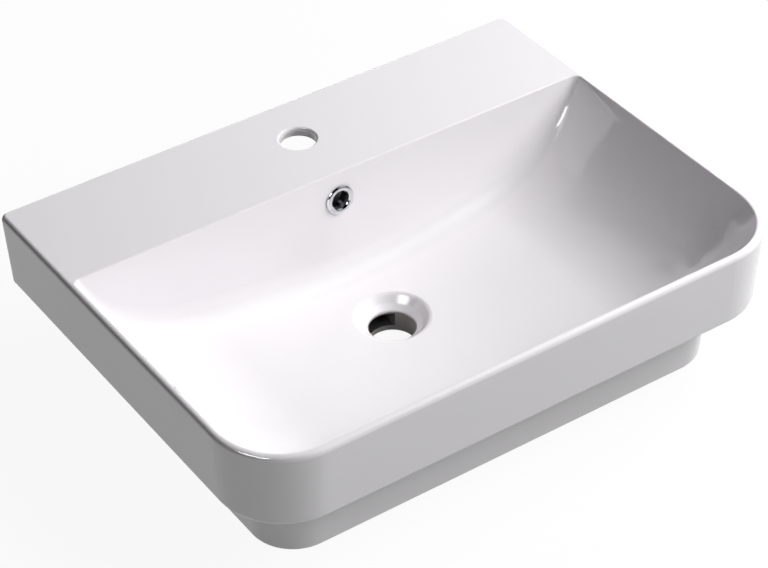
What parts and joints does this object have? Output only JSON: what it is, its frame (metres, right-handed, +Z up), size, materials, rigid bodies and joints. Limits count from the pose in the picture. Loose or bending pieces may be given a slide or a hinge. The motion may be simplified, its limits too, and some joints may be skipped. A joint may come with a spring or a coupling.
{
  "type": "washbasin",
  "caption": "Rectangular glazed ceramic washbasin with rounded front corners, a flat tap deck, a wide sloping bowl, a stepped base and a chromed overflow ring, for a worktop or a wall.",
  "frame": {"origin": "middle of the footprint, on the surface that the basin stands on", "axes": "+X along the front to the right, +Y from the front towards the wall, +Z up"},
  "size_m": [0.6, 0.4575, 0.157],
  "materials": {
    "glaze": "glossy white glaze",
    "chrome": "bright plated",
    "sleeve_plastic": "moulded black",
    "seal_rubber": "dull grey black"
  },
  "bodies": {
    "basin": {"basin_body": "glaze"},
    "overflow_trim": {"overflow_bezel": "chrome", "overflow_sleeve": "sleeve_plastic", "overflow_seal": "seal_rubber"}
  },
  "joints": [
    {"name": "overflow_pull", "type": "slide", "parent": "basin", "child": "overflow_trim", "axis": [0, -0.9967, 0.0807], "range_m": [0, 0.02]}
  ]
}
